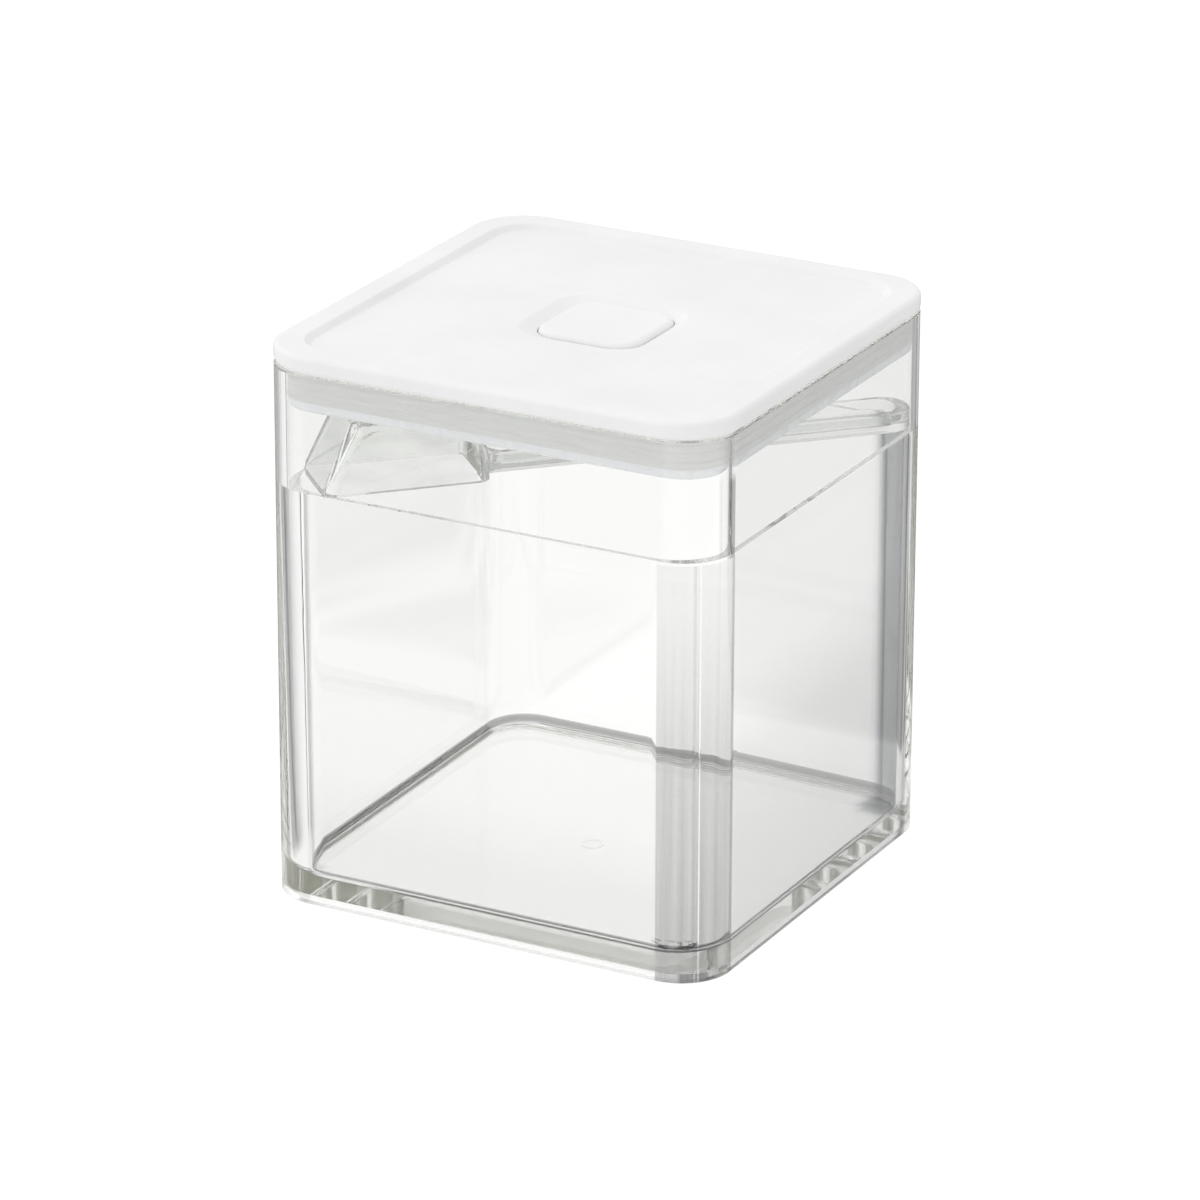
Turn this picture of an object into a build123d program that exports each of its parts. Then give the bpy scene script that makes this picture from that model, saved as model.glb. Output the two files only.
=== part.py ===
from build123d import *
import math
import os

# Square airtight canister in clear plastic, with a white push-valve lid and a
# clear spoon kept upside down across the diagonal, on the ledge under the lid.
# Millimetres. Origin at the middle of the base, +Z up, the base stands on z = 0.

# ---------------------------------------------------------------- dimensions
# container body
BODY_HALF = 59.6            # half of the outer width and depth
BODY_CORNER = 13.0          # outer upright corner radius
RIM_Z = 133.2               # top of the rim
UPPER_WALL = 2.8            # wall above the ledge
LEDGE_Z = 103.7             # ledge where the thick lower wall begins
LOWER_WALL_TOP = 4.2        # wall just below the ledge
LOWER_WALL_FLOOR = 5.2      # wall at the floor, from the core's draft
LOWER_CORNER = 11.5         # inner upright corner radius at the ledge
FLOOR_Z = 5.7               # top of the floor
FLOOR_FILLET = 2.4          # inside, floor to wall
FOOT_H = 1.4                # height of the foot ring
FOOT_W = 4.0                # width of the foot ring
FOOT_EDGE = 0.6             # rounding of the outer bottom edge
RIM_EDGE = 0.35             # rounding of the rim's edges
GATE_R = 2.65               # moulding gate ring under the floor
GATE_X, GATE_Y = 0.5, -2.5

# lid cover
LID_HALF = 60.0
LID_CORNER = 14.4
LID_UNDER_Z = 133.35        # underside of the overhang, just above the rim
LID_TOP_Z = 138.1           # top of the raised border
LID_TOP_EDGE = 1.25
LID_LOW_EDGE = 1.7
BORDER_IN = 6.5             # border width to the top of the soft step
STEP_RUN = 1.5              # width of the step
PANEL_Z = 136.7             # sunk panel inside the border
PANEL_T = 1.6               # panel thickness
COVER_CAVITY_HALF = 52.0    # hollow under the panel
MOAT_HALF = 17.0            # dished ring around the button
MOAT_CORNER = 8.7
MOAT_X, MOAT_Y = 1.1, -0.8  # the ring sits a little off the lid's middle
MOAT_Z = LID_TOP_Z - 2.75   # bottom of the dish
VALVE_X, VALVE_Y = 1.7, -0.5    # middle of the button and its valve
HOLE_HALF = 13.8            # square hole for the button
HOLE_CORNER = 7.0
COLLAR_WALL = 2.0           # guide collar under the hole
COLLAR_Z = 130.4            # lower end of the collar

# plug frame that fills the mouth
PLUG_HALF = 56.2            # lower strip under the gasket
PLUG_BOTTOM_Z = 123.4
STRIP_TOP_Z = 126.0
PLUG_FLOOR = 2.0
GROOVE_HALF = 53.5          # seat of the gasket
PLUG_IN_HALF = 51.0
PLUG_LOW_EDGE = 1.2
BOSS_R = 11.0               # raised boss that takes the valve seal
BOSS_UNDER_Z = 127.4
BOSS_TOP_Z = 129.4
SEAL_POCKET_R = 8.4
STEM_HOLE_R = 3.1
VENT_R = 0.9                # four air holes around the stem
VENT_PCR = 5.2

# gasket
GASKET_HALF = 56.45
LIP_HALF = 56.7
GASKET_TOP_Z = 133.3
LIP_Z = (127.3, 129.6, 131.9)
LIP_H = 1.5

# push valve
BUTTON_HALF = 13.6
BUTTON_CORNER = 6.8
BUTTON_TOP_Z = 136.5
BUTTON_EDGE = 1.6
BUTTON_WALL = 1.6
BUTTON_TOP_T = 1.8
BUTTON_SKIRT_Z = 127.0
STEM_R = 3.0
STEM_CLIP_R = 2.0           # neck that carries the seal and the clip
STEM_END_Z = 124.95
SEAL_R = 7.4
SEAL_T = 1.2
CLIP_R = 4.4
CLIP_T = 0.9
SPRING_R = 5.4              # mean radius of the coil
WIRE_R = 0.35
SPRING_TURNS = 3.5
VALVE_TRAVEL = 1.5          # how far the button goes down

# spoon, lying upside down on the ledge along the diagonal
SPOON_GAP = 0.06            # rests on the ledge
BOWL_IN = -70.0             # bowl's end in the corner, along the diagonal
BOWL_OUT = -29.2            # bowl's end at the handle
BOWL_W = 23.6
BOWL_H = 17.2
BOWL_WALL = 1.8
HANDLE_END = 75.2
HANDLE_W = 13.0
HANDLE_H = 5.0
HANDLE_WALL = 1.5
HANDLE_END_R = 6.2


def slab(half, corner, z0, z1):
    """Square slab with rounded upright corners between two heights."""
    return Pos(0, 0, z0) * extrude(RectangleRounded(2 * half, 2 * half, corner), z1 - z0)


def taper(half0, corner0, z0, half1, corner1, z1):
    """Rounded square that changes size between two heights."""
    low = Pos(0, 0, z0) * RectangleRounded(2 * half0, 2 * half0, corner0)
    top = Pos(0, 0, z1) * RectangleRounded(2 * half1, 2 * half1, corner1)
    return loft([low, top], ruled=True)


def edges_at(part, z, half=None, tol=0.02, within=None):
    """Edges lying flat at height z: all, those that reach a half width, or those within one."""
    found = []
    for e in part.edges():
        b = e.bounding_box()
        if abs(b.min.Z - z) < tol and abs(b.max.Z - z) < tol:
            reach = max(abs(b.min.X), abs(b.max.X), abs(b.min.Y), abs(b.max.Y))
            if half is not None and abs(reach - half) >= 0.06:
                continue
            if within is not None and reach > within:
                continue
            found.append(e)
    return found


# ---------------------------------------------------------------- container
inner_up = BODY_HALF - UPPER_WALL
corner_up = BODY_CORNER - UPPER_WALL
low_half_top = BODY_HALF - LOWER_WALL_TOP
low_half_floor = BODY_HALF - LOWER_WALL_FLOOR
body = slab(BODY_HALF, BODY_CORNER, 0, RIM_Z)
body = fillet(edges_at(body, 0), FOOT_EDGE)
cavity_low = taper(low_half_floor, LOWER_CORNER - (low_half_top - low_half_floor), FLOOR_Z,
                   low_half_top, LOWER_CORNER, LEDGE_Z + 0.01)
cavity_low = fillet(edges_at(cavity_low, FLOOR_Z), FLOOR_FILLET)
cavity_up = slab(inner_up, corner_up, LEDGE_Z, RIM_Z + 1)
body = body - cavity_low - cavity_up
body = body - slab(BODY_HALF - FOOT_W, BODY_CORNER - FOOT_W, -1, FOOT_H)
body = fillet(edges_at(body, RIM_Z), RIM_EDGE)
gate = Pos(GATE_X, GATE_Y, FOOT_H - 0.3) * extrude(Circle(GATE_R) - Circle(GATE_R - 0.6), 0.4)
container_body = body + gate

# ---------------------------------------------------------------- lid cover
cover = slab(LID_HALF, LID_CORNER, LID_UNDER_Z, LID_TOP_Z)
cover = fillet(edges_at(cover, LID_TOP_Z), LID_TOP_EDGE)
cover = fillet(edges_at(cover, LID_UNDER_Z), LID_LOW_EDGE)
step_out = LID_HALF - BORDER_IN
step_in = step_out - STEP_RUN
pocket = taper(step_in, 8.4, PANEL_Z, step_out, 9.9, LID_TOP_Z)
pocket = pocket + slab(step_out, 9.9, LID_TOP_Z, LID_TOP_Z + 1)
cover = cover - pocket
cover = fillet(edges_at(cover, LID_TOP_Z, step_out), 0.9)
cover = fillet(edges_at(cover, PANEL_Z, step_in), 0.7)
cavity = slab(COVER_CAVITY_HALF, 6.4, LID_UNDER_Z - 1, PANEL_Z - PANEL_T)
cover = cover - cavity
valve_at = Pos(VALVE_X, VALVE_Y, 0)
moat_at = Pos(MOAT_X, MOAT_Y, 0)
cover = cover + valve_at * slab(HOLE_HALF + COLLAR_WALL, HOLE_CORNER + COLLAR_WALL,
                                COLLAR_Z, PANEL_Z - PANEL_T + 0.1)
dish = loft([valve_at * Pos(0, 0, MOAT_Z) * RectangleRounded(2 * HOLE_HALF - 0.02, 2 * HOLE_HALF - 0.02, HOLE_CORNER),
             moat_at * Pos(0, 0, PANEL_Z) * RectangleRounded(2 * MOAT_HALF, 2 * MOAT_HALF, MOAT_CORNER)], ruled=True)
dish = dish + moat_at * slab(MOAT_HALF, MOAT_CORNER, PANEL_Z, PANEL_Z + 0.5)
cover = cover - dish
cover = fillet(edges_at(cover, PANEL_Z, within=MOAT_HALF + 2), 0.9)
cover = cover - valve_at * slab(HOLE_HALF, HOLE_CORNER, COLLAR_Z - 1, LID_TOP_Z)
lid_cover = cover

# ---------------------------------------------------------------- plug frame
shift = inner_up - corner_up     # centre of the mouth's corner arcs
plug = slab(GROOVE_HALF, GROOVE_HALF - shift, PLUG_BOTTOM_Z, LID_UNDER_Z)
strip = slab(PLUG_HALF, PLUG_HALF - shift, PLUG_BOTTOM_Z, STRIP_TOP_Z)
strip = fillet(edges_at(strip, PLUG_BOTTOM_Z), PLUG_LOW_EDGE)
plug = plug - slab(GROOVE_HALF + 5, GROOVE_HALF + 5 - shift, PLUG_BOTTOM_Z - 1, PLUG_BOTTOM_Z + 2.2)
plug = plug + strip
plug = plug - slab(PLUG_IN_HALF, PLUG_IN_HALF - shift, PLUG_BOTTOM_Z + PLUG_FLOOR, LID_UNDER_Z + 1)
plug = plug + valve_at * Pos(0, 0, PLUG_BOTTOM_Z + 0.5) * extrude(Circle(BOSS_R), BOSS_TOP_Z - PLUG_BOTTOM_Z - 0.5)
plug = plug - valve_at * Pos(0, 0, PLUG_BOTTOM_Z - 1) * extrude(Circle(SEAL_POCKET_R), BOSS_UNDER_Z - PLUG_BOTTOM_Z + 1)
holes = Circle(STEM_HOLE_R) + [Rot(0, 0, 45 + 90 * k) * Pos(VENT_PCR, 0) * Circle(VENT_R) for k in range(4)]
plug = plug - valve_at * Pos(0, 0, BOSS_UNDER_Z - 1) * extrude(holes, BOSS_TOP_Z - BOSS_UNDER_Z + 2)
lid_plug = plug

# ---------------------------------------------------------------- gasket
ring = slab(GASKET_HALF, GASKET_HALF - shift, STRIP_TOP_Z, GASKET_TOP_Z)
for z in LIP_Z:
    low = taper(GASKET_HALF, GASKET_HALF - shift, z - LIP_H / 2, LIP_HALF, LIP_HALF - shift, z + LIP_H / 6)
    top = taper(LIP_HALF, LIP_HALF - shift, z + LIP_H / 6, GASKET_HALF, GASKET_HALF - shift, z + LIP_H / 2)
    ring = ring + low + top
lid_gasket = ring - slab(GROOVE_HALF, GROOVE_HALF - shift, STRIP_TOP_Z - 1, GASKET_TOP_Z + 1)

# ---------------------------------------------------------------- push valve
button = slab(BUTTON_HALF, BUTTON_CORNER, BUTTON_SKIRT_Z, BUTTON_TOP_Z)
button = fillet(edges_at(button, BUTTON_TOP_Z), BUTTON_EDGE)
button = button - slab(BUTTON_HALF - BUTTON_WALL, BUTTON_CORNER - BUTTON_WALL,
                       BUTTON_SKIRT_Z - 1, BUTTON_TOP_Z - BUTTON_TOP_T)
seal_top = BOSS_UNDER_Z - 0.04
seal_low = seal_top - SEAL_T
stem = Pos(0, 0, seal_top) * extrude(Circle(STEM_R), BUTTON_TOP_Z - BUTTON_TOP_T - seal_top + 0.2)
neck = Pos(0, 0, STEM_END_Z) * extrude(Circle(STEM_CLIP_R), seal_top - STEM_END_Z + 0.2)
valve_button = valve_at * (button + stem + neck)
valve_seal = valve_at * Pos(0, 0, seal_low) * extrude(Circle(SEAL_R) - Circle(STEM_CLIP_R), SEAL_T)
valve_clip = valve_at * Pos(0, 0, seal_low - CLIP_T) * extrude(
    Circle(CLIP_R) - Circle(STEM_CLIP_R) - Pos(CLIP_R, 0) * Rectangle(CLIP_R, 1.2), CLIP_T)
spring_low = BOSS_TOP_Z + WIRE_R + 0.02
spring_top = BUTTON_TOP_Z - BUTTON_TOP_T - WIRE_R - 0.02
pitch = (spring_top - spring_low) / SPRING_TURNS
coil = Helix(pitch=pitch, height=spring_top - spring_low, radius=SPRING_R, center=(0, 0, spring_low))
wire = Plane(origin=coil @ 0, z_dir=coil % 0) * Circle(WIRE_R)
valve_spring = valve_at * sweep(wire, path=coil, is_frenet=True)

# ---------------------------------------------------------------- spoon
# Made along +X with its rim on z = 0, then turned onto the diagonal.


def bowl_section(x0, x1, width, corner, z):
    return Pos((x0 + x1) / 2, 0, z) * RectangleRounded(x1 - x0, width, corner)


def bowl_shape(inset, z0, height):
    rows = [(0.0, 0.0, 0.0, 0.0), (0.40, 3.2, 0.35, 0.5), (0.74, 5.9, 2.3, 1.1), (1.0, 7.9, 5.4, 1.7)]
    made = []
    for f, left, right, side in rows:
        made.append(bowl_section(BOWL_IN + left + inset, BOWL_OUT - right - inset,
                                 BOWL_W - 2 * side - 2 * inset, max(3.6 - 0.4 * f - inset, 1.4), z0 + f * height))
    return loft(made)


bowl_out = bowl_shape(0, 0, BOWL_H)
bowl_out = fillet(edges_at(bowl_out, BOWL_H), 2.2)
bowl_void = bowl_shape(BOWL_WALL, 0, BOWL_H - BOWL_WALL)
bowl_void = fillet(edges_at(bowl_void, BOWL_H - BOWL_WALL), 1.2)
handle_0 = BOWL_OUT - 4.0
handle = extrude(make_face([
    Line((handle_0, -HANDLE_W / 2), (HANDLE_END - HANDLE_END_R, -HANDLE_W / 2)),
    RadiusArc((HANDLE_END - HANDLE_END_R, -HANDLE_W / 2), (HANDLE_END, -HANDLE_W / 2 + HANDLE_END_R), -HANDLE_END_R),
    Line((HANDLE_END, -HANDLE_W / 2 + HANDLE_END_R), (HANDLE_END, HANDLE_W / 2 - HANDLE_END_R)),
    RadiusArc((HANDLE_END, HANDLE_W / 2 - HANDLE_END_R), (HANDLE_END - HANDLE_END_R, HANDLE_W / 2), -HANDLE_END_R),
    Line((HANDLE_END - HANDLE_END_R, HANDLE_W / 2), (handle_0, HANDLE_W / 2)),
    Line((handle_0, HANDLE_W / 2), (handle_0, -HANDLE_W / 2))]), HANDLE_H)
handle = fillet(edges_at(handle, HANDLE_H), 0.6)
handle = fillet(edges_at(handle, 0), 0.6)
chan_w = HANDLE_W - 2 * HANDLE_WALL
chan_0 = BOWL_OUT + 1.2
chan_1 = HANDLE_END - 3.4
channel = Pos((chan_0 + chan_1) / 2, 0, HANDLE_WALL) * extrude(
    RectangleRounded(chan_1 - chan_0, chan_w, chan_w / 2 - 0.4), HANDLE_H)
channel = fillet(edges_at(channel, HANDLE_WALL), 1.0)
spoon_flat = bowl_out + (handle - channel) - bowl_void - Pos(0, 0, -1) * extrude(
    bowl_section(BOWL_IN + BOWL_WALL, BOWL_OUT - BOWL_WALL, BOWL_W - 2 * BOWL_WALL, 1.8, 0), 1.0)
spoon = Pos(0, 0, LEDGE_Z + SPOON_GAP) * Rot(0, 0, 45) * spoon_flat

# ---------------------------------------------------------------- output
nodes = {
    "container_body": container_body,
    "lid_cover": lid_cover,
    "lid_plug_frame": lid_plug,
    "lid_gasket": lid_gasket,
    "valve_button": valve_button,
    "valve_spring": valve_spring,
    "valve_seal_disc": valve_seal,
    "valve_retaining_clip": valve_clip,
    "spoon": spoon,
}
os.makedirs("parts", exist_ok=True)
for name, shape in nodes.items():
    export_step(shape, "parts/" + name + ".step")
    b = shape.bounding_box()
    print(name, len(shape.solids()), round(shape.volume, 1),
          [round(v, 2) for v in (b.min.X, b.min.Y, b.min.Z, b.max.X, b.max.Y, b.max.Z)])
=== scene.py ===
import bpy
import bmesh
import math
from mathutils import Vector, Matrix


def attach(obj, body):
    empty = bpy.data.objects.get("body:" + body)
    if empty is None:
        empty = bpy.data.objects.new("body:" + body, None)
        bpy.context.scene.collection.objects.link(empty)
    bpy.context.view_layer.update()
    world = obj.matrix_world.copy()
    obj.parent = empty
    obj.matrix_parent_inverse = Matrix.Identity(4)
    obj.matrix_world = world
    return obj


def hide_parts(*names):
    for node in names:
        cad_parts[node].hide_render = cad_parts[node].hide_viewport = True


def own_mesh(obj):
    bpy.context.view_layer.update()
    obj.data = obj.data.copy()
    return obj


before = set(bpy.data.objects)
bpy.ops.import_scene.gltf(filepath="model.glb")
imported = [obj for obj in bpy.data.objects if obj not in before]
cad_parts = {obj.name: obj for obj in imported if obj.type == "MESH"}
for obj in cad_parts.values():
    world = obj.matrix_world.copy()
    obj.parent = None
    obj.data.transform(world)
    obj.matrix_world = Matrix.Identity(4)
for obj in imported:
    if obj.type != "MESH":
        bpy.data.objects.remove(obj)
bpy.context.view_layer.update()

MM = 0.001
scene = bpy.context.scene


# ------------------------------------------------------------------ helpers
def new_material(name):
    m = bpy.data.materials.new(name)
    m.use_nodes = True
    nt = m.node_tree
    for n in list(nt.nodes):
        nt.nodes.remove(n)
    out = nt.nodes.new("ShaderNodeOutputMaterial")
    bsdf = nt.nodes.new("ShaderNodeBsdfPrincipled")
    nt.links.new(bsdf.outputs["BSDF"], out.inputs["Surface"])
    return m, nt, bsdf, out


def node(nt, kind, **values):
    n = nt.nodes.new(kind)
    for k, v in values.items():
        if hasattr(n, k):
            setattr(n, k, v)
        else:
            n.inputs[k].default_value = v
    return n


def give(node_name, mat):
    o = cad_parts[node_name]
    o.data.materials.clear()
    o.data.materials.append(mat)



# ------------------------------------------------------------ mesh builders
CORNER_STEPS = 24


def square_loop(half, corner, z, steps=CORNER_STEPS):
    """Points of a rounded square, counter-clockwise from the +X -Y corner."""
    corner = min(corner, half)
    pts = []
    for cx, cy, a0 in ((1, -1, -90), (1, 1, 0), (-1, 1, 90), (-1, -1, 180)):
        for k in range(steps + 1):
            a = math.radians(a0 + 90.0 * k / steps)
            pts.append(((cx * (half - corner) + corner * math.cos(a)) * MM,
                        (cy * (half - corner) + corner * math.sin(a)) * MM, z * MM))
    return pts


def arc_rows(c_half, c_z, radius, a0, a1, steps, corner_of):
    """Rows (half, corner, z) along a rounded edge seen in section."""
    rows = []
    for k in range(steps + 1):
        a = math.radians(a0 + (a1 - a0) * k / steps)
        h = c_half + radius * math.cos(a)
        rows.append((h, corner_of(h), c_z + radius * math.sin(a)))
    return rows


def square_solid(name, rows, ring=False, steps=CORNER_STEPS):
    """Closed mesh from rounded-square rows; capped at both ends unless it is a ring."""
    verts, faces = [], []
    n = 4 * (steps + 1)
    for h, r, z, *at in rows:
        dx, dy = at[0] if at else (0.0, 0.0)
        verts += [(x + dx * MM, y + dy * MM, w) for x, y, w in square_loop(h, r, z, steps)]
    m = len(rows)
    for i in range(m if ring else m - 1):
        a, b = i * n, ((i + 1) % m) * n
        for j in range(n):
            k = (j + 1) % n
            faces.append((a + j, a + k, b + k, b + j))
    if not ring:
        faces.append(tuple(range(n - 1, -1, -1)))
        faces.append(tuple(range((m - 1) * n, m * n)))
    me = bpy.data.meshes.new(name)
    me.from_pydata(verts, [], faces)
    me.validate()
    return finish_mesh(name, me)


def finish_mesh(name, me, angle=32.0):
    """Outward faces, smooth shading with true flats, and sharp edges kept."""
    bm = bmesh.new()
    bm.from_mesh(me)
    bmesh.ops.remove_doubles(bm, verts=bm.verts, dist=1e-7)
    bmesh.ops.recalc_face_normals(bm, faces=bm.faces)
    for f in bm.faces:
        f.smooth = True
    for e in bm.edges:
        e.smooth = len(e.link_faces) == 2 and e.calc_face_angle(0.0) < math.radians(angle)
    bm.to_mesh(me)
    bm.free()
    o = bpy.data.objects.new(name, me)
    scene.collection.objects.link(o)
    w = o.modifiers.new("weighted", "WEIGHTED_NORMAL")
    w.mode = "FACE_AREA"
    w.keep_sharp = True
    w.weight = 100
    return o


def build_body():
    H, R = 59.6, 13.0
    out = lambda h: R - (H - h)
    inner_floor_half, inner_top_half, r_top = 54.4, 55.4, INNER_R
    z0, z1 = 5.7, 103.7
    def low(z):
        t = (z - z0) / (z1 - z0)
        return inner_floor_half + t * (inner_top_half - inner_floor_half)
    def low_r(h):
        return r_top - (inner_top_half - h)
    gate = (0.5, -2.5)
    rows = [(2.05, 2.05, 1.4, gate), (2.05, 2.05, 1.1, gate), (2.65, 2.65, 1.1, gate), (2.65, 2.65, 1.4, gate),
            (H - 4.0, R - 4.0, 1.4), (H - 4.0, R - 4.0, 0.0)]
    rows += arc_rows(H - 0.6, 0.6, 0.6, -90, 0, 6, out)
    rows += [(H, R, 40.0), (H, R, 90.0)]
    rows += arc_rows(H - 0.35, 133.2 - 0.35, 0.35, 0, 90, 5, out)
    ih, ir = 56.8, 10.2
    inn = lambda h: ir + (h - ih)
    rows += arc_rows(ih + 0.35, 133.2 - 0.35, 0.35, 90, 180, 5, inn)
    rows += [(ih, ir, 103.7), (inner_top_half, r_top, 103.7)]
    hf = low(z0 + FLOOR_R)
    rows += [(low(70.0), low_r(low(70.0)), 70.0), (low(30.0), low_r(low(30.0)), 30.0)]
    rows += arc_rows(hf - FLOOR_R, z0 + FLOOR_R, FLOOR_R, 0, -90, 16, lambda h: low_r(hf) - (hf - h))
    rows += [(hf - FLOOR_R - 3.0, low_r(hf) - FLOOR_R - 2.0, z0)]
    return square_solid("body_shell", rows)


INNER_R = 11.5
FLOOR_R = 2.4
W_ROOM, W_KEY, W_TOP, W_DIM = 0.87, 0.38, 0.10, 0.0
FLOOR_GLOW = 1.06
FLOOR_WHITE, FLOOR_THROUGH, FLOOR_LIT, FLOOR_TURNED = 0.92, 0.92, 0.60, 0.90

body = build_body()
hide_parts("container_body")
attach(body, "container")


# ---------------------------------------------------------------- materials
class Kit:
    """Short names for the shader nodes used below."""

    def __init__(self, nt):
        self.nt = nt
        self.coord = nt.nodes.new("ShaderNodeTexCoord").outputs["Object"]

    def put(self, value, socket):
        if isinstance(value, (int, float)):
            socket.default_value = value
        elif isinstance(value, tuple):
            socket.default_value = (*value, 1)
        else:
            self.nt.links.new(value, socket)

    def op(self, kind, a, b=None, clamp=False):
        k = node(self.nt, "ShaderNodeMath", operation=kind, use_clamp=clamp)
        self.put(a, k.inputs[0])
        if b is not None:
            self.put(b, k.inputs[1])
        return k.outputs["Value"]

    def times(self, *values):
        v = values[0]
        for w in values[1:]:
            v = self.op("MULTIPLY", v, w)
        return v

    def remap(self, source, f0, f1, t0=0.0, t1=1.0, kind="LINEAR"):
        k = node(self.nt, "ShaderNodeMapRange", interpolation_type=kind)
        for name_, v in (("From Min", f0), ("From Max", f1), ("To Min", t0), ("To Max", t1)):
            k.inputs[name_].default_value = v
        self.put(source, k.inputs["Value"])
        return k.outputs["Result"]

    def mix(self, amount, c0, c1, blend="MIX"):
        k = node(self.nt, "ShaderNodeMix", data_type="RGBA", blend_type=blend)
        self.put(amount, k.inputs[0])
        self.put(c0, k.inputs[6])
        self.put(c1, k.inputs[7])
        return k.outputs[2]

    def ramp(self, source, lo, hi, stops):
        """Colour looked up along a number; stops are (number, grey or colour)."""
        k = node(self.nt, "ShaderNodeValToRGB")
        self.put(self.remap(source, lo, hi), k.inputs[0])
        e = k.color_ramp.elements
        while len(e) < len(stops):
            e.new(0.5)
        for el, (at, v) in zip(e, stops):
            el.position = (at - lo) / (hi - lo)
            el.color = (*v, 1) if isinstance(v, tuple) else (v, v, v, 1)
        return k.outputs["Color"]

    def noise(self, scale, detail=3.0, rough=0.5, stretch=None):
        k = node(self.nt, "ShaderNodeTexNoise", Scale=scale, Detail=detail, Roughness=rough)
        if stretch:
            m = node(self.nt, "ShaderNodeMapping")
            m.inputs["Scale"].default_value = stretch
            self.nt.links.new(self.coord, m.inputs["Vector"])
            self.nt.links.new(m.outputs["Vector"], k.inputs["Vector"])
        else:
            self.nt.links.new(self.coord, k.inputs["Vector"])
        return k.outputs["Fac"]

    def xyz(self):
        k = node(self.nt, "ShaderNodeSeparateXYZ")
        self.nt.links.new(self.coord, k.inputs["Vector"])
        return k.outputs["X"], k.outputs["Y"], k.outputs["Z"]

    def bump(self, bsdf, height, distance):
        k = node(self.nt, "ShaderNodeBump")
        k.inputs["Strength"].default_value = 1.0
        k.inputs["Distance"].default_value = distance
        self.nt.links.new(height, k.inputs["Height"])
        self.nt.links.new(k.outputs["Normal"], bsdf.inputs["Normal"])


def absorb_light(nt, out, absorb):
    """Loss per metre in red, green and blue inside the plastic."""
    v = node(nt, "ShaderNodeVolumeAbsorption")
    most = max(absorb)
    v.inputs["Density"].default_value = most / (1 - 0.2)
    v.inputs["Color"].default_value = (*[1 - a / most * 0.8 for a in absorb], 1)
    nt.links.new(v.outputs["Volume"], out.inputs["Volume"])


BODY_ABSORB = (0.7, 0.7, 0.95)
BODY_FACE, BODY_GLANCE_SHADE, BODY_POWER = (0.99, 0.993, 0.986), (0.20, 0.21, 0.20), 5.0
FRONT_CORNER_SHADE = [(0.0, 0.19), (15.0, 0.21), (41.0, 0.33), (61.5, 0.43), (92.0, 0.70), (104.0, 0.78)]
RIGHT_ARC_SHADE = [(42.6, 1.0), (44.0, (0.75, 0.76, 0.77)), (44.6, (0.53, 0.545, 0.56)),
              (45.4, (0.28, 0.295, 0.31)), (46.2, (0.13, 0.14, 0.148)), (46.8, (0.18, 0.19, 0.197)),
              (52.5, (0.18, 0.19, 0.197))]
LEFT_ARC_SHADE = [(46.4, 1.0), (47.2, 0.85), (48.2, 0.70), (52.5, 0.70)]
UNDER_MATT = 0.12
ROUND_SHADE = [(5.7, 1.0), (6.1, 0.60), (6.4, 0.16), (7.0, 0.12), (7.7, 0.20), (8.1, 0.50)]
BASE_STRIP_SHADE = (0.50, 0.495, 0.48)
SEAM_SHADE_CLEAR = 0.12
RIGHT_WALL_SHADE = [(0.0, 0.56), (30.0, 0.63), (52.0, 0.72), (64.0, 0.88), (74.0, 1.0), (104.0, 1.0)]
FRONT_FOOT_SHADE = [(6.5, 0.79), (20.0, 0.80), (36.0, 0.95), (60.0, 1.0)]


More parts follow.
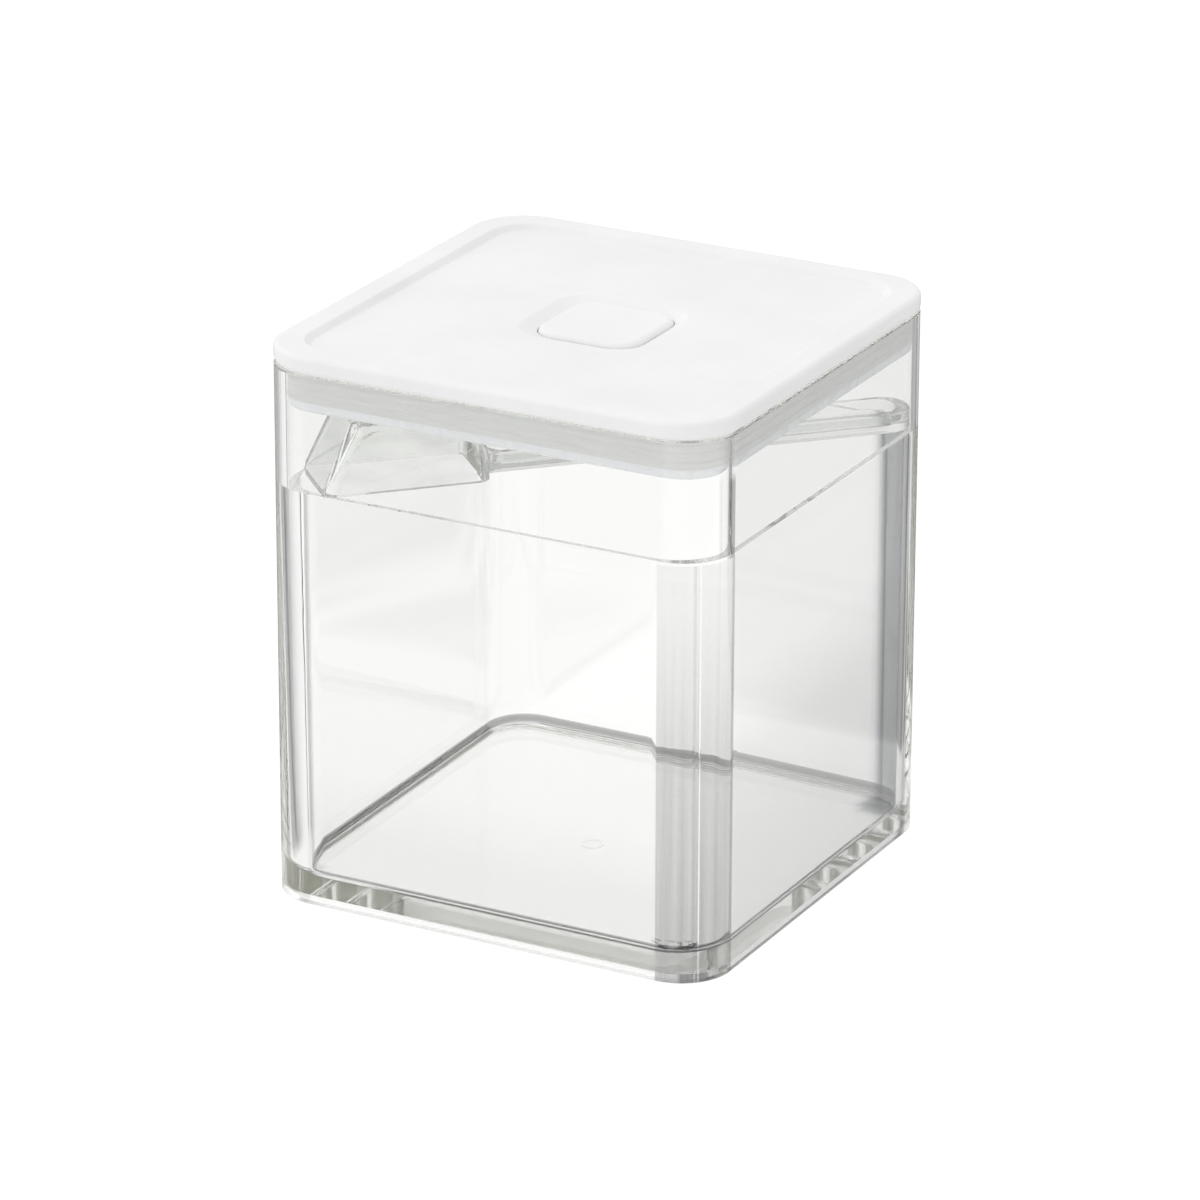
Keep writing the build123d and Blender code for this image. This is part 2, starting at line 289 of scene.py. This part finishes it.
def body_plastic():
    m, nt, b, out = new_material("clear_body")
    k = Kit(nt)
    b.inputs["Transmission Weight"].default_value = 1.0
    b.inputs["IOR"].default_value = 1.53
    k.put(k.remap(k.noise(90.0), 0.35, 0.75, 0.0, 0.012), b.inputs["Roughness"])
    x, y, z = k.xyz()
    # painted reflection: the plastic is darkened where it is met at a glancing angle, standing for dark surroundings
    # mirrored in its edges
    lw = node(nt, "ShaderNodeLayerWeight", Blend=0.5)
    glance_shade = k.op("POWER", lw.outputs["Facing"], BODY_POWER, True)
    colour = k.mix(glance_shade, BODY_FACE, BODY_GLANCE_SHADE)
    ax, ay = k.op("ABSOLUTE", x), k.op("ABSOLUTE", y)
    near = k.op("MINIMUM", ax, ay)                 # distance into a corner, from either face
    both = k.op("ADD", ax, ay)
    outer = k.remap(both, 104.9 * MM, 105.3 * MM)  # 1 on a corner's outer arc
    inner = k.remap(both, 105.3 * MM, 104.9 * MM)
    below = k.remap(z, 103.75 * MM, 103.55 * MM)
    diff, total = k.op("SUBTRACT", x, y), k.op("ADD", x, y)
    front = k.remap(diff, 88 * MM, 90 * MM)
    right = k.remap(total, 84 * MM, 86 * MM)
    left = k.remap(total, -84 * MM, -86 * MM)
    # painted shade on the thick front corner, standing for its deep dark reflections: darker towards the foot, with
    # streaks that run up it
    streak = k.noise(420.0, 4.0, 0.6, (1.0, 1.0, 0.012))
    corner_shade = k.ramp(k.op("DIVIDE", z, MM), 0.0, 104.0, FRONT_CORNER_SHADE)
    arc = k.remap(near, 46.3 * MM, 46.6 * MM)
    ridge = k.remap(k.op("ABSOLUTE", k.op("SUBTRACT", ax, ay)), 0.30 * MM, 0.16 * MM)
    shade_band = k.times(front, arc, outer, below)
    amount = k.times(shade_band, k.remap(streak, 0.3, 0.7, 1.0, 0.72), k.remap(ridge, 0.0, 1.0, 1.0, 0.0))
    colour = k.mix(1.0, colour, k.mix(amount, (1.0, 1.0, 1.0), corner_shade), "MULTIPLY")
    # its right-hand end has a narrow shade line, and so has the left of the parting line
    line = k.times(shade_band, k.remap(near, 47.9 * MM, 47.3 * MM), k.remap(k.op("SUBTRACT", ax, ay), 0.0, 2 * MM))
    off = k.op("SUBTRACT", ay, ax)
    line2 = k.times(shade_band, k.remap(off, 1.2 * MM, 1.5 * MM), k.remap(off, 2.6 * MM, 2.2 * MM), 0.5)
    colour = k.mix(1.0, colour, k.mix(k.op("ADD", line, line2, True), (1.0, 1.0, 1.0), (0.52, 0.52, 0.52)), "MULTIPLY")
    # painted shade: dark flecks at its foot
    shade_fleck = k.times(front, outer, k.remap(z, 7.6 * MM, 8.4 * MM), k.remap(z, 11.2 * MM, 10.4 * MM),
                    k.remap(off, -1 * MM, 1 * MM), k.remap(k.noise(500.0, 3.0, 0.6, (1, 1, 2.0)), 0.50, 0.56))
    colour = k.mix(1.0, colour, k.mix(shade_fleck, (1.0, 1.0, 1.0), (0.03, 0.03, 0.03)), "MULTIPLY")
    # painted shade on the inner arcs of the right and left corners, standing for their deep dark reflections
    near_mm = k.op("DIVIDE", near, MM)
    for side, arc_shades, lo, hi in ((right, RIGHT_ARC_SHADE, 42.0, 52.5), (left, LEFT_ARC_SHADE, 46.0, 52.5)):
        t = k.ramp(near_mm, lo, hi, arc_shades)
        colour = k.mix(1.0, colour, k.mix(k.times(side, inner, below), (1.0, 1.0, 1.0), t), "MULTIPLY")
    # painted shade: the right wall, and the foot of the front one, are darker towards the bottom, standing for the
    # shaded floor seen through them
    z_mm = k.op("DIVIDE", z, MM)
    flat = k.remap(near, 46.6 * MM, 46.2 * MM)
    on_right = k.times(flat, k.remap(x, 58.8 * MM, 59.2 * MM), below)
    t = k.mix(1.0, k.ramp(z_mm, 0.0, 104.0, RIGHT_WALL_SHADE),
              k.ramp(k.op("DIVIDE", y, MM), -46.0, 46.0, [(-46.0, 1.0), (-35.0, 1.0), (25.0, 0.97), (46.0, 0.96)]), "MULTIPLY")
    colour = k.mix(1.0, colour, k.mix(on_right, (1.0, 1.0, 1.0), t), "MULTIPLY")
    on_front = k.times(flat, k.remap(y, -58.8 * MM, -59.2 * MM))
    t = k.ramp(z_mm, 6.0, 66.0, FRONT_FOOT_SHADE)
    colour = k.mix(1.0, colour, k.mix(k.times(on_front, k.remap(z, 6.0 * MM, 6.6 * MM)), (1.0, 1.0, 1.0), t), "MULTIPLY")
    # painted shade: a darker strip along the base of the front wall, right of about x = -23 mm
    base = k.times(on_front, k.remap(z, 2.2 * MM, 2.7 * MM), k.remap(z, 6.8 * MM, 6.3 * MM), k.remap(x, -26 * MM, -20 * MM))
    colour = k.mix(1.0, colour, k.mix(base, (1.0, 1.0, 1.0), BASE_STRIP_SHADE), "MULTIPLY")
    # painted shade on the rounding between floor and walls, dark from any side, standing for the dark that thick
    # plastic there shows as it turns the light
    inside = k.times(k.remap(k.op("MAXIMUM", ax, ay), 54.9 * MM, 54.7 * MM), k.remap(z, 5.75 * MM, 5.85 * MM),
                     k.remap(z, 8.1 * MM, 8.0 * MM))
    t = k.ramp(z_mm, 5.7, 8.1, ROUND_SHADE)
    colour = k.mix(1.0, colour, k.mix(inside, (1.0, 1.0, 1.0), t), "MULTIPLY")
    # painted shade: a grey strip up the right end of the front corner, between the ledge and the lid
    above = k.times(k.op("SUBTRACT", 1.0, below), k.remap(z, 124.5 * MM, 122.0 * MM))
    shade_strip = k.times(front, above, k.remap(both, 105.3 * MM, 105.9 * MM), k.remap(near, 46.5 * MM, 46.7 * MM),
                    k.remap(near, 50.0 * MM, 48.3 * MM), k.remap(k.op("SUBTRACT", ax, ay), 0.0, 2 * MM))
    colour = k.mix(1.0, colour, k.mix(shade_strip, (1.0, 1.0, 1.0), (0.26, 0.27, 0.27)), "MULTIPLY")
    # painted shade: a thin dark line where the rounding meets the floor, on the two sides with the deeper walls
    seam_shade = k.times(k.remap(k.op("MAXIMUM", ax, ay), 54.9 * MM, 54.7 * MM), k.remap(z, 5.72 * MM, 5.78 * MM),
                   k.remap(z, 6.9 * MM, 6.5 * MM), k.remap(diff, 20 * MM, 30 * MM))
    colour = k.mix(seam_shade, colour, (0.06, 0.06, 0.06))
    k.put(colour, b.inputs["Base Color"])
    # the underside is slightly matt from standing, and scatters some of the floor's white
    clear = k.remap(z, 1.45 * MM, 1.60 * MM, 1.0 - UNDER_MATT, 1.0)
    k.put(k.times(clear, k.remap(seam_shade, 0.0, 1.0, 1.0, SEAM_SHADE_CLEAR)), b.inputs["Transmission Weight"])
    # the moulding is a little wavy in its thick corners
    wavy = k.times(k.remap(near, 44.5 * MM, 47 * MM), below, k.noise(230.0, 1.0, 0.4, (1.0, 1.0, 0.6)))
    k.bump(b, k.op("ADD", wavy, k.times(ridge, arc, 0.25)), 0.000026)
    absorb_light(nt, out, BODY_ABSORB)
    return m


def spoon_plastic():
    m, nt, b, out = new_material("clear_spoon")
    k = Kit(nt)
    b.inputs["Transmission Weight"].default_value = 1.0
    b.inputs["IOR"].default_value = 1.53
    k.put(k.remap(k.noise(120.0), 0.35, 0.75, 0.0, 0.02), b.inputs["Roughness"])
    # painted reflection: the plastic is darkened where it is met at a glancing angle, standing for dark surroundings
    # mirrored in its edges
    lw = node(nt, "ShaderNodeLayerWeight", Blend=0.5)
    glance_shade = k.op("POWER", lw.outputs["Facing"], 2.6, True)
    colour = k.mix(glance_shade, (0.97, 0.975, 0.965), (0.16, 0.17, 0.17))
    flow = k.noise(60.0, 3.0, 0.55, (1.0, 1.0, 3.0))
    colour = k.mix(1.0, colour, k.mix(k.remap(flow, 0.35, 0.65), (1.0, 1.0, 1.0), (0.90, 0.90, 0.90)), "MULTIPLY")
    k.put(colour, b.inputs["Base Color"])
    absorb_light(nt, out, (3.0, 3.0, 3.6))
    return m


def moulded(name, colour, rough, mottle=0.02, grain=0.000006, gloss=0.5):
    """Opaque moulded plastic: faint cloudiness, uneven satin and a fine grain."""
    m, nt, b, out = new_material(name)
    k = Kit(nt)
    cloud = k.noise(35.0, 4.0, 0.55)
    dull = tuple(c * (1 - mottle * 2) for c in colour)
    k.put(k.mix(k.remap(cloud, 0.35, 0.65), colour, dull), b.inputs["Base Color"])
    k.put(k.remap(k.noise(300.0, 3.0), 0.3, 0.7, rough - 0.05, rough + 0.06), b.inputs["Roughness"])
    b.inputs["IOR"].default_value = 1.5
    b.inputs["Specular IOR Level"].default_value = gloss
    k.bump(b, k.noise(2600.0, 2.0), grain)
    return m


def soft_rubber(name, colour, low, high, streaks_and_shade):
    """Soft silicone with fine brushed lines that run round it."""
    m, nt, b, out = new_material(name)
    k = Kit(nt)
    x, y, z = k.xyz()
    lines = k.noise(110.0, 5.0, 0.65, (1.0, 1.0, 24.0)) if streaks_and_shade else k.noise(240.0, 4.0)
    c = k.mix(k.remap(lines, 0.3, 0.7), tuple(v * low for v in colour), tuple(v * high for v in colour))
    # painted shade: the top of the band is darker, as under the lid's overhang
    if streaks_and_shade:
        c = k.mix(1.0, c, k.mix(k.remap(z, 131.2 * MM, 133.2 * MM), (1.0, 1.0, 1.0), (0.92, 0.92, 0.92)), "MULTIPLY")
    k.put(c, b.inputs["Base Color"])
    k.put(k.remap(lines, 0.3, 0.7, 0.42, 0.60), b.inputs["Roughness"])
    b.inputs["IOR"].default_value = 1.42
    k.bump(b, lines, 0.00003 if streaks_and_shade else 0.00001)
    return m


def drawn_steel(name):
    m, nt, b, out = new_material(name)
    k = Kit(nt)
    b.inputs["Metallic"].default_value = 1.0
    lines = k.noise(900.0, 4.0, 0.6, (1.0, 1.0, 6.0))
    k.put(k.mix(k.remap(lines, 0.3, 0.7), (0.56, 0.56, 0.57), (0.70, 0.70, 0.70)), b.inputs["Base Color"])
    k.put(k.remap(lines, 0.3, 0.7, 0.22, 0.40), b.inputs["Roughness"])
    k.bump(b, lines, 0.000006)
    return m


body.data.materials.append(body_plastic())
give("spoon", spoon_plastic())
give("lid_cover", moulded("white_lid", (0.80, 0.80, 0.80), 0.35))
give("valve_button", moulded("white_button", (0.81, 0.81, 0.81), 0.33))
give("lid_plug_frame", moulded("white_frame", (0.80, 0.81, 0.83), 0.28))
give("lid_gasket", soft_rubber("gasket", (0.67, 0.675, 0.67), 0.95, 1.05, True))
give("valve_seal_disc", soft_rubber("seal", (0.66, 0.66, 0.66), 0.97, 1.03, False))
give("valve_retaining_clip", moulded("clip", (0.76, 0.76, 0.76), 0.22))
# the coil shortens as the button goes down, so its mesh is a piece of its own
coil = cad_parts["valve_spring"].data.copy()
coil.materials.clear()
coil.materials.append(drawn_steel("steel"))
spring = bpy.data.objects.new("valve_spring_coil", coil)
scene.collection.objects.link(spring)
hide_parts("valve_spring")
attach(spring, "lid")
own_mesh(spring)

# -------------------------------------------------------------------- stage
floor_mat, fnt, fb, fout = new_material("floor")
fb.inputs["Roughness"].default_value = 0.9
fb.inputs["Specular IOR Level"].default_value = 0.0
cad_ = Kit(fnt)
fx, fy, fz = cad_.xyz()
path = node(fnt, "ShaderNodeLightPath")
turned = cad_.op("MINIMUM", path.outputs["Glossy Depth"], 1.0)


def bearing(cx, cy):
    """Angle in degrees, anticlockwise from +X, of a floor point about (cx, cy) mm."""
    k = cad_.op("ARCTAN2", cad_.op("SUBTRACT", fy, cy * MM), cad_.op("SUBTRACT", fx, cx * MM))
    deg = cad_.op("MULTIPLY", k, 180 / math.pi)
    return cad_.op("ADD", deg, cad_.op("MULTIPLY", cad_.op("LESS_THAN", deg, 0.0), 360.0))


# painted shade on the paper: dimmer in some directions, standing for dark cards beside a product table; seen only in
# light that was turned inside the thick plastic edges
LEFT_FLOOR_SHADE = [(90, 0.80), (112, 0.80), (114, 0.42), (129, 0.44), (131, 0.24), (134.5, 0.24), (137, 0.42),
              (142, 0.52), (153, 0.76), (160, 0.87), (172, 0.95), (175.6, 0.92), (176.3, 0.08),
              (177.6, 0.08), (178.4, 1.0), (183, 1.0), (186, 0.60), (200, 0.55)]
RIGHT_FLOOR_SHADE = [(70, 0.42), (98, 0.42), (101, 0.20), (105, 0.22), (112, 0.40), (116, 0.8), (119, 1.0), (122, 1.0),
               (126, 0.55), (132, 0.35), (140, 0.50), (146, 0.62), (160, 0.60)]
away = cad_.op("SQRT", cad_.op("ADD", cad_.op("POWER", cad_.op("ADD", fx, 59.6 * MM), 2.0),
                             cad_.op("POWER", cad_.op("ADD", fy, 59.6 * MM), 2.0)))
left_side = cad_.times(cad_.remap(fx, -59 * MM, -61 * MM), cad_.remap(away, 22 * MM, 32 * MM))
back_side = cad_.times(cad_.remap(fx, -61 * MM, -59 * MM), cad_.remap(fy, 95 * MM, 100 * MM))
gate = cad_.mix(left_side, (FLOOR_TURNED,) * 3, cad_.ramp(bearing(-59.6, -59.6), 90, 200, LEFT_FLOOR_SHADE))
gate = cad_.mix(back_side, gate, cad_.ramp(bearing(59.6, 59.6), 70, 160, RIGHT_FLOOR_SHADE))
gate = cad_.mix(turned, (1.0, 1.0, 1.0), gate)
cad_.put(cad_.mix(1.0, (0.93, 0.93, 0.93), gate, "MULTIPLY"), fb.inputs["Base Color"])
# it glows white, with the painted shade above in its glow too, and only a trace of its own shading left on it
white = node(fnt, "ShaderNodeEmission", Strength=FLOOR_GLOW)
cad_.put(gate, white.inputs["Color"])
both = node(fnt, "ShaderNodeMixShader")
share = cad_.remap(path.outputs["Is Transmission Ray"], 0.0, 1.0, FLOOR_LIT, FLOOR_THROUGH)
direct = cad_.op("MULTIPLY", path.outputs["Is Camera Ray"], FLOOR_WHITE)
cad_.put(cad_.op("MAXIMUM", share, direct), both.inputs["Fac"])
fnt.links.new(fb.outputs["BSDF"], both.inputs[1])
fnt.links.new(white.outputs["Emission"], both.inputs[2])
fnt.links.new(both.outputs["Shader"], fout.inputs["Surface"])
me = bpy.data.meshes.new("floor")
S = 20.0
me.from_pydata([(-S, -S, 0), (S, -S, 0), (S, S, 0), (-S, S, 0)], [], [(0, 1, 2, 3)])
floor = bpy.data.objects.new("floor", me)
scene.collection.objects.link(floor)
floor.data.materials.append(floor_mat)
floor.location.z = -0.00005

# ------------------------------------------------------------------- camera
AZ, EL, ROLL = math.radians(28.10), math.radians(21.189), math.radians(0.15)
DIST, F_PX, TX, TY = 1638.54, 6760.96, 0.169, 61.584
back = Vector((math.sin(AZ) * math.cos(EL), -math.cos(AZ) * math.cos(EL), math.sin(EL)))
right = Vector((math.cos(AZ), math.sin(AZ), 0))
up = back.cross(right)
r2 = right * math.cos(ROLL) + up * math.sin(ROLL)
u2 = -right * math.sin(ROLL) + up * math.cos(ROLL)
cam_data = bpy.data.cameras.new("camera")
cam = bpy.data.objects.new("camera", cam_data)
scene.collection.objects.link(cam)
cam_data.sensor_width = 36.0
cam_data.lens = F_PX / 1200 * 36.0
cam_data.clip_start, cam_data.clip_end = 0.05, 60
loc = (back * DIST + r2 * TX + u2 * TY) * MM
cam.matrix_world = Matrix(((r2.x, u2.x, back.x, loc.x), (r2.y, u2.y, back.y, loc.y),
                           (r2.z, u2.z, back.z, loc.z), (0, 0, 0, 1)))
scene.camera = cam

# ------------------------------------------------------------------- lights
world = bpy.data.worlds.new("studio")
scene.world = world
world.use_nodes = True
wt = world.node_tree
for n in list(wt.nodes):
    wt.nodes.remove(n)
wo = wt.nodes.new("ShaderNodeOutputWorld")
bg = wt.nodes.new("ShaderNodeBackground")
wt.links.new(bg.outputs["Background"], wo.inputs["Surface"])
coord = wt.nodes.new("ShaderNodeTexCoord")
sep = wt.nodes.new("ShaderNodeSeparateXYZ")
wt.links.new(coord.outputs["Generated"], sep.inputs["Vector"])


def span(source, lo, hi, out_lo, out_hi, kind="SMOOTHSTEP"):
    r = wt.nodes.new("ShaderNodeMapRange")
    r.interpolation_type = kind
    r.inputs["From Min"].default_value = lo
    r.inputs["From Max"].default_value = hi
    r.inputs["To Min"].default_value = out_lo
    r.inputs["To Max"].default_value = out_hi
    wt.links.new(source, r.inputs["Value"])
    return r.outputs["Result"]


def math_node(op, a, b):
    m = wt.nodes.new("ShaderNodeMath")
    m.operation = op
    for k, v in enumerate((a, b)):
        if isinstance(v, (int, float)):
            m.inputs[k].default_value = v
        else:
            wt.links.new(v, m.inputs[k])
    return m.outputs["Value"]


# an even white room, brighter overhead and to the front left, dimmer to the right
def toward(vec, lo, hi, amount):
    d = wt.nodes.new("ShaderNodeVectorMath")
    d.operation = "DOT_PRODUCT"
    wt.links.new(coord.outputs["Generated"], d.inputs[0])
    d.inputs[1].default_value = Vector(vec).normalized()
    return span(d.outputs["Value"], lo, hi, 0.0, amount)


total = math_node("ADD", W_ROOM, toward((-0.85, -0.3, 0.6), -0.2, 1.0, W_KEY))
total = math_node("ADD", total, toward((0.0, 0.0, 1.0), 0.2, 1.0, W_TOP))
total = math_node("SUBTRACT", total, toward((1.0, 0.1, 0.1), 0.0, 1.0, W_DIM))
comb = wt.nodes.new("ShaderNodeCombineXYZ")
for k in range(3):
    wt.links.new(total, comb.inputs[k])
wt.links.new(comb.outputs["Vector"], bg.inputs["Color"])
bg.inputs["Strength"].default_value = 1.0

scene.view_settings.view_transform = "Standard"
scene.view_settings.look = "None"
scene.cycles.max_bounces = 96
scene.cycles.transmission_bounces = 96
scene.cycles.glossy_bounces = 96
scene.cycles.diffuse_bounces = 6
scene.cycles.caustics_reflective = True
scene.cycles.caustics_refractive = True
scene.cycles.blur_glossy = 0.0
